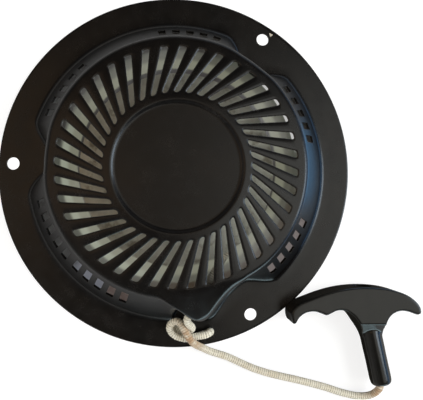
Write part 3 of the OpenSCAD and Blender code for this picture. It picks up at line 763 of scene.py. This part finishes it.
# Paint film: a broad mottle in its colour, a fine orange peel, and dust that lies in patches.
# It is thin on the slots' lips and chipped in one place, and duller on the drawn wall.
paint, tree, shader, where = new_material("black_paint")
film = blend_colours(spread(noise(where, 38 * mm, 4), 0.35, 0.7),
                     linear(7, 6, 6), linear(14, 11, 9))
dust = times(spread(noise(where, 14 * mm, 5), 0.5, 0.75, 0, 0.2),
             spread(noise(where, 0.7 * mm, 2), 0.45, 0.7))
dusty = blend_colours(dust, film, linear(56, 50, 43))
lip_wear = put(tree, "ShaderNodeAttribute", attribute_name="lip").outputs["Fac"]
thin = times(maths("POWER", lip_wear, 3.0), spread(noise(where, 2.2 * mm), 0.38, 0.68, 0.1, 0.5))
lipped = blend_colours(thin, dusty, linear(84, 78, 68))
edged = blend_colours(worn_edges(tree, 0.5 * mm, 700, 0.4), lipped, linear(118, 112, 102))
chip_place, chip_r, chip_core_r, ragged = (0.0688, 0.1036, 0.0016), 1.4 * mm, 1.1 * mm, 0.7 * mm
chip_edge = plus(vectors("DISTANCE", where, chip_place),
                 spread(noise(where, 1.0 * mm), 0, 1, -ragged, ragged))
chipped = blend_colours(spread(chip_edge, chip_r, chip_core_r), edged, linear(206, 196, 178))
upright = put(tree, "ShaderNodeSeparateXYZ",
              {"Vector": put(tree, "ShaderNodeNewGeometry").outputs["Normal"]}).outputs["Z"]
drawn = times(spread(upright, 0.72, 0.4), 0.22)
gloss = plus(spread(noise(where, 9 * mm, 4), 0.3, 0.7, 0.22, 0.28), times(dust, 0.5))
peel = plus(noise(where, 1.3 * mm, 2), times(noise(where, 0.3 * mm, 2), 0.25))
set_surface(tree, chipped, plus(gloss, drawn), peel, 0.08, 0.03 * mm)
housing.data.materials.clear()
housing.data.materials.append(paint)


# ---- Pull handle ----
# A T-shaped grip moulded in glossy black plastic, 91 mm across. The bar is a thick slab with
# finger hollows. It slopes down on both faces to a thinner web, which has a round boss for the
# rope along its middle.

handle_at = Vector((149.3 * mm, -152.9 * mm, 12.9 * mm))
handle_turn = math.radians(11.4)
half_grip, half_web, boss_r = 12.5, 5, 7.35
grip_outline = [
    (7.4, 36), (8, 41), (9.4, 45.2), (12.4, 49), (16.4, 51.2), (21.4, 51.7), (27, 49.8),
    (32.6, 46.6), (35.6, 48), (34.6, 54), (28.6, 61.2), (19, 67), (8, 71), (-5, 73.8), (-18, 74.8),
    (-30, 74.2), (-42, 72.4), (-50.6, 70.6), (-56.0, 66.8), (-57, 60.6), (-55.4, 57.6), (-51, 61.8),
    (-46, 63.9), (-40, 63.6), (-35, 61), (-32, 59.2), (-29, 59.8), (-24, 61), (-18.5, 59.8),
    (-13.4, 55.3), (-10.4, 49.5), (-8.6, 43.5), (-7.4, 36),
]


def moulded_slab(outline, half, rounding):
    """A flat slab of this outline, half this thick to either side, with rounded edges."""
    bpy.ops.object.select_all(action="DESELECT")
    bpy.ops.mesh.primitive_circle_add(vertices=len(outline), radius=0.04, fill_type="NGON")
    slab = bpy.context.object
    for vertex, (u, v) in zip(slab.data.vertices, outline):
        vertex.co = (u * mm, v * mm, -half * mm)
    bpy.ops.object.mode_set(mode="EDIT")
    bpy.ops.mesh.select_all(action="SELECT")
    bpy.ops.mesh.extrude_region_move(TRANSFORM_OT_translate={"value": (0, 0, 2 * half * mm)})
    leave_edit_mode()
    apply_modifier(slab, "BEVEL", width=rounding * mm, segments=3, limit_method="ANGLE",
                   angle_limit=math.radians(60))
    return slab


def place_in_mesh(piece):
    """Moves the piece's place and turn into its mesh."""
    active_only(piece)
    bpy.ops.object.transform_apply(location=True, rotation=True, scale=True)
    return piece


def rod(vertices, radius, depth, middle):
    """A cylinder along the handle's stem, its middle this far up the stem, in millimetres."""
    return place_in_mesh(cylinder(vertices, radius * mm, depth * mm, (0, middle * mm, 0),
                                  (math.pi / 2, 0, 0)))


grip = moulded_slab(smooth_line([(u, v, 0) for u, v in grip_outline], 4)[:, :2], half_grip, 1.6)
# A sloping cut on each face makes the step from the bar down to the web.
step_v, step_depth, slope = 42.2 * mm, 8.3 * mm, (-0.14, -0.69, 0.71)
bpy.ops.object.mode_set(mode="EDIT")
for face_side in (1, -1):
    bpy.ops.mesh.select_all(action="SELECT")
    bpy.ops.mesh.bisect(plane_co=(0, step_v, face_side * step_depth),
                        plane_no=(slope[0], slope[1], face_side * slope[2]), use_fill=True,
                        clear_outer=True)
bpy.ops.object.mode_set(mode="OBJECT")
web_outline = [(6.2, 1.6), (6.9, 4), (6.9, 18), (7, 36), (8, 41), (9.4, 45.2), (12.4, 49),
               (16, 54), (-17, 58), (-13.4, 55.3), (-10.4, 49.5), (-8.6, 43.5), (-7.3, 36),
               (-7, 18), (-7, 4), (-6.2, 1.6), (-4, 0.4), (4, 0.4)]
web = moulded_slab(web_outline, half_web, 1.2)
boss = rod(64, boss_r, 41.1, 20.85)
apply_modifier(boss, "BEVEL", width=2.4 * mm, segments=4, limit_method="ANGLE")
bpy.ops.mesh.primitive_uv_sphere_add(segments=48, ring_count=24, radius=boss_r * mm,
                                     location=(0, 39 * mm, 0))
dome = place_in_mesh(bpy.context.object)
thicker = 1.15
for rounded_part in (boss, dome):
    for vertex in rounded_part.data.vertices:
        vertex.co.z *= thicker
handle = join_pieces("pull_handle_grip", grip, web, boss, dome)
# The stem leans over a little towards its end, and all edges are softened.
lean, lean_from = 0.9, 34
for vertex in handle.data.vertices:
    vertex.co.x += lean * mm * max(0, 1 - vertex.co.y / (lean_from * mm))
apply_modifier(handle, "REMESH", mode="VOXEL", voxel_size=0.62 * mm)
apply_modifier(handle, "SMOOTH", factor=0.5, iterations=9)
rope_bore, knot_pocket = rod(40, 3.1, 90, 20), rod(48, 7, 40, 72)
cut_out(handle, rope_bore)
cut_out(handle, knot_pocket)
handle.data.transform(Matrix.Translation(handle_at) @ Matrix.Rotation(handle_turn, 4, "Z"))
active_only(handle)
bpy.ops.object.shade_smooth_by_angle(angle=math.radians(50))
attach(handle, "pull")
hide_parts("pull_handle")

plastic, tree, shader, where = new_material("moulded_plastic")
body_colour = blend_colours(spread(noise(where, 22 * mm, 3), 0.35, 0.7),
                            linear(19, 19, 17), linear(24, 23, 21))
scuffed = blend_colours(worn_edges(tree, 0.7 * mm, 500, 0.15), body_colour, linear(92, 88, 82))
skin = plus(noise(where, 2.5 * mm, 2), times(noise(where, 0.25 * mm, 2), 0.2))
set_surface(tree, scuffed, spread(noise(where, 5 * mm, 4), 0.3, 0.7, 0.13, 0.2),
            skin, 0.15, 0.03 * mm)
shader.inputs["Specular IOR Level"].default_value = 0.44
handle.data.materials.clear()
handle.data.materials.append(plastic)

# ---- Reel, spring case and pawls ----
# Stamped steel plates with a dull zinc finish gone slightly brown, bright turned pins, pawls,
# screw and post, blued wire springs and a bronze bush. They keep the shapes of the frame's
# solids.


def metal(name, light, dark, rough, size, scratch=0.0, stain=None, wear=0.5):
    """A metal finish: mottled between two colours, brushed round the reel's axis, with worn
    edges and, if stain is given, patches of that colour."""
    made, tree, shader, where = new_material(name)
    colour = blend_colours(spread(noise(where, size, 5), 0.32, 0.7), light, dark)
    if stain:
        patch = spread(noise(where, size * 0.6, 4), 0.52, 0.7, 0, 0.8)
        colour = blend_colours(patch, colour, stain)
    colour = blend_colours(worn_edges(tree, 0.4 * mm, 800, wear), colour, linear(214, 210, 200))
    at = put(tree, "ShaderNodeSeparateXYZ", {"Vector": where})
    from_axis = maths("SQRT", plus(times(at.outputs["X"], at.outputs["X"]),
                                   times(at.outputs["Y"], at.outputs["Y"])))
    rings_at = put(tree, "ShaderNodeCombineXYZ", {"X": from_axis})
    brushed = put(tree, "ShaderNodeTexNoise",
                  {"Vector": rings_at.outputs[0], "Scale": 3500.0, "Detail": 3.0}).outputs["Fac"]
    fine = noise(where, 0.5 * mm, 3)
    set_surface(tree, colour,
                plus(spread(fine, 0.3, 0.7, rough, rough + 0.14),
                     times(brushed, scratch * 0.2)),
                plus(times(brushed, scratch), times(fine, 0.5)), 0.35, 0.03 * mm)
    shader.inputs["Metallic"].default_value = 1.0
    return made


def dress(finish, *names):
    """Gives these CAD nodes this finish."""
    for name in names:
        cad[name].data.materials.clear()
        cad[name].data.materials.append(finish)


dress(metal("zinc_plate", linear(238, 241, 232), linear(208, 212, 202), 0.24, 16 * mm,
            scratch=0.5, stain=linear(140, 134, 116)),
      "reel_upper_plate", "reel_lower_plate", "reel_drum", "spring_case", "spring_keeper",
      "ratchet_guide")
dress(metal("bright_steel", linear(205, 204, 200), linear(160, 158, 154), 0.22, 9 * mm,
            scratch=0.6),
      "rope_eyelet", "centre_post", "centre_screw", "brake_washer", "reel_rivets",
      "pawl_pivots", "pawl_1", "pawl_2", "handle_insert")
dress(metal("blued_spring", linear(74, 78, 92), linear(46, 46, 54), 0.28, 6 * mm, wear=0.7),
      "recoil_spring", "brake_spring", "pawl_springs")
dress(metal("bush_bronze", linear(184, 152, 96), linear(138, 108, 66), 0.34, 5 * mm,
            scratch=0.4), "reel_bush")

# The knots at the rope's two hidden ends are the same cord, drawn tight, so it shows in them
# as a fine weave in the colour and the bump.
knotted, tree, shader, where = new_material("knotted_cord")
skewed = put(tree, "ShaderNodeMapping", {"Vector": where, "Rotation": (0.5, 0.7, 0.4)})
strands = put(tree, "ShaderNodeTexWave", {"Vector": skewed.outputs[0], "Scale": 260.0,
                                          "Distortion": 3.0, "Detail": 2.0}).outputs["Fac"]
tone = blend_colours(strands, linear(186, 174, 142), linear(224, 218, 200))
grubby = blend_colours(spread(noise(where, 4 * mm), 0.45, 0.7, 0, 0.6), tone,
                       linear(170, 150, 116))
set_surface(tree, grubby, spread(noise(where, 1 * mm), 0.3, 0.7, 0.75, 0.92),
            strands, 0.6, 0.25 * mm)
dress(knotted, "rope_anchor_knot", "handle_knot")

# ---- Table and light ----
# A pale table, a window on the right, a weaker light from the room on the left and a low pane
# in front, under a ceiling that is dark apart from a soft patch, which the black paint mirrors.

table_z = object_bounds()[0][2] - 0.2 * mm
bpy.ops.object.select_all(action="DESELECT")
bpy.ops.mesh.primitive_plane_add(size=6, location=(0, 0, table_z))
table = bpy.context.object
table.name = "table"
table_finish, tree, shader, where = new_material("pale_table")
shader.inputs["Roughness"].default_value = 0.9
shader.inputs["Specular IOR Level"].default_value = 0.1
rays = put(tree, "ShaderNodeLightPath").outputs
mirrored = maths("MAXIMUM", rays["Is Glossy Ray"], rays["Is Transmission Ray"])
seen = maths("MAXIMUM", rays["Is Camera Ray"], times(mirrored, 0.35))

# Under the housing the table's glow is painted light and shade. It is a dim painted shade;
# through the slots' outer ends a painted light shows creamy, paler on the left and browner on the
# right, with a painted highlight at some ends, and below the walls the painted shade is nearly
# dark, lighter behind the vents. The tones go by the distance and the heading from the slots'
# centre.
from_slots = vectors("SUBTRACT", where, (0.6 * mm, 4 * mm, 0), result="Vector")
in_slots = vectors("LENGTH", from_slots)
heading = vectors("NORMALIZE", from_slots, result="Vector")


def sector(angle, wide, narrow):
    """1 near this heading from the slots' centre and 0 past it, with a soft side."""
    pointer = (math.cos(math.radians(angle)), math.sin(math.radians(angle)), 0)
    return spread(vectors("DOT_PRODUCT", heading, pointer),
                  math.cos(math.radians(wide)), math.cos(math.radians(narrow)))


from_axis = vectors("LENGTH", where)
from_vents = vectors("DISTANCE", where, (0.082, -0.06, 0))
# Painted light and shade seen through the slots, and a painted highlight at some slot ends.
painted_ring_light = blend_colours(sector(208, 68, 32), (0.078, 0.078, 0.06), (0.255, 0.275, 0.212))
painted_edge_shade = blend_colours(sector(300, 62, 25), (0.06, 0.064, 0.05), (0.034, 0.024, 0.014))
painted_end_highlight = blend_colours(sector(28, 21, 15), painted_edge_shade, (0.5, 0.5, 0.49))
painted_wall_shade_and_light = blend_colours(sector(234, 12, 5), (0.006, 0.005, 0.004), (0.1, 0.105, 0.125))
painted_wall_shade_and_light = blend_colours(sector(249, 11, 7), painted_wall_shade_and_light, (0.055, 0.036, 0.03))
painted_under_housing = (0.028, 0.026, 0.025)
for start, full, tone in ((0.0722, 0.0735, (0.175, 0.178, 0.13)), (0.0785, 0.0815, painted_ring_light),
                          (0.084, 0.0865, painted_edge_shade), (0.0874, 0.0879, painted_end_highlight)):
    painted_under_housing = blend_colours(spread(in_slots, start, full), painted_under_housing, tone)
painted_far_end_shade = times(sector(120, 56, 46), spread(in_slots, 0.0866, 0.0872))
painted_under_housing = blend_colours(painted_far_end_shade, painted_under_housing, (0.012, 0.011, 0.009))
painted_under_housing = blend_colours(spread(in_slots, 0.0905, 0.094), painted_under_housing, painted_wall_shade_and_light)
# Painted light seen through the vents on the lower right.
painted_vent_light = times(spread(from_vents, 0.04, 0.025), spread(in_slots, 0.0905, 0.093))
painted_under_housing = blend_colours(painted_vent_light, painted_under_housing, (0.16, 0.14, 0.135))
# Outside the housing the table glows an even white; inside it keeps the painted tones.
glow_and_painted_light = blend_colours(spread(from_axis, 0.112, 0.116), painted_under_housing, (0.76, 0.76, 0.76))
# Under the screw holes the table glows full white, a painted light over the flange's shadow there.
for place in screw_places:
    glow_and_painted_light = blend_colours(spread(vectors("DISTANCE", where, place), 0.009, 0.008),
                         glow_and_painted_light, (1.0, 1.0, 1.0))
far_off = spread(from_axis, 0.26, 0.55)
below = put(tree, "ShaderNodeNewGeometry").outputs["Backfacing"]
glow_and_painted_light = blend_colours(maths("MAXIMUM", far_off, below), glow_and_painted_light, (1.0, 1.0, 1.0))

# To the right the table has a painted blue glow, seen only in reflections, which the housing's wall
# mirrors as the window's blue light.
painted_blue_glow = times(times(sector(3, 23, 8), mirrored), spread(from_axis, 0.3, 0.16))
painted_blue_glow = times(painted_blue_glow, spread(from_axis, 0.12, 0.127))
glow_and_painted_light = blend_colours(painted_blue_glow, glow_and_painted_light, (0.5, 2.8, 5.8))

# Close round the handle the table has a painted shade, seen only in reflections, which the handle's
# sides mirror.
grip_place = put(tree, "ShaderNodeMapping",
                 {"Vector": where, "Location": tuple(handle_at), "Scale": (0.066, 0.066, 1),
                  "Rotation": (0, 0, handle_turn)}, vector_type="TEXTURE").outputs[0]
by_handle = vectors("DISTANCE", grip_place, (-0.15, 0.68, -0.0129))
in_grip = put(tree, "ShaderNodeSeparateXYZ", {"Vector": grip_place}).outputs
left_or_above = maths("MAXIMUM", spread(in_grip["X"], 0.1, 0.0), spread(in_grip["Y"], 0.7, 0.8))
painted_handle_shade = times(times(spread(by_handle, 1.05, 0.75), left_or_above), mirrored)
feed(shader.inputs["Emission Color"], blend_colours(painted_handle_shade, glow_and_painted_light, (0.02, 0.018, 0.015)))
# The painted shade darkens the table's colour too, for reflections only.
feed(shader.inputs["Base Color"],
     blend_colours(painted_handle_shade, (0.32, 0.32, 0.32), (0.03, 0.028, 0.025)))
feed(shader.inputs["Emission Strength"], seen)
table.data.materials.append(table_finish)

# The sky's ceiling patch is warm on the left and white on the right. Round the horizon mirrors
# see daylight, which turns blue towards the window, and rough surfaces an even pale light.
world = bpy.data.worlds.new("studio")
scene.world = world
world.use_nodes = True
tree = world.node_tree
tree.nodes.clear()
toward = put(tree, "ShaderNodeSeparateXYZ",
             {"Vector": put(tree, "ShaderNodeTexCoord").outputs["Generated"]})
east, north, height = toward.outputs["X"], toward.outputs["Y"], toward.outputs["Z"]
warm_side = blend_colours(spread(east, -0.27, -0.02), (0.50, 0.34, 0.21), (0.33, 0.28, 0.22))
patch = blend_colours(spread(east, 0.03, 0.27), warm_side, (1.15, 1.14, 1.06))
from_south = plus(north, spread(east, -0.05, 0.2, 0, 0.25))
in_patch = times(spread(from_south, -0.16, -0.02), spread(north, 0.36, 0.16))
ceiling = blend_colours(in_patch, (0.03, 0.028, 0.025), patch)
ceiling = blend_colours(spread(height, 0.82, 0.62), ceiling, (0.10, 0.10, 0.10))
daylight = blend_colours(spread(east, -0.2, 0.7), (0.5, 0.49, 0.46), (0.5, 0.66, 0.86))
daylight = blend_colours(spread(east, 0.72, 0.95), daylight, (0.42, 0.95, 1.75))
daylight = blend_colours(spread(height, -0.08, 0.0), (0.5, 0.5, 0.48), daylight)
rays = put(tree, "ShaderNodeLightPath").outputs
around = blend_colours(rays["Is Glossy Ray"], (0.85, 0.87, 0.9), daylight)
horizon = blend_colours(spread(height, 0.5, 0.1), ceiling, around)
shown = blend_colours(rays["Is Camera Ray"], horizon, (1.0, 1.0, 1.0))
sky = put(tree, "ShaderNodeBackground", {"Color": shown, "Strength": 1.0})
put(tree, "ShaderNodeOutputWorld", {0: sky.outputs[0]})

# Flat lamps, turned to the starter. Each either lights it evenly or is only mirrored in it.
lamp_distance = 1.1
for name, toward, width, height, power, colour, unseen_by in (
        ("window", (1.0, 0.1, 0.85), 0.8, 0.6, 11.0, (0.97, 0.99, 1.0), "visible_glossy"),
        ("window_glare", (1.0, -0.05, 0.75), 0.5, 0.45, 4.0, (0.72, 0.86, 1.0), "visible_diffuse"),
        ("room", (-0.9, -0.6, 0.9), 0.7, 0.5, 5.5, (1.0, 0.97, 0.92), "visible_glossy"),
        ("room_glare", (-0.9, -0.6, 0.9), 0.7, 0.5, 4.8, (1.0, 0.98, 0.95), "visible_diffuse"),
        ("side_pane", (0.40, -0.92, 0.2), 1.0, 0.36, 4.2, (0.7, 0.95, 1.0), "visible_diffuse")):
    direction = Vector(toward).normalized()
    panel = bpy.data.lights.new(name, "AREA")
    panel.shape = "RECTANGLE"
    panel.size, panel.size_y = width, height
    panel.energy, panel.color = power, colour
    lamp = bpy.data.objects.new(name, panel)
    lamp.location = direction * lamp_distance
    lamp.rotation_euler = (-direction).to_track_quat("-Z", "Y").to_euler()
    scene.collection.objects.link(lamp)
    lamp.visible_camera = False
    setattr(lamp, unseen_by, False)
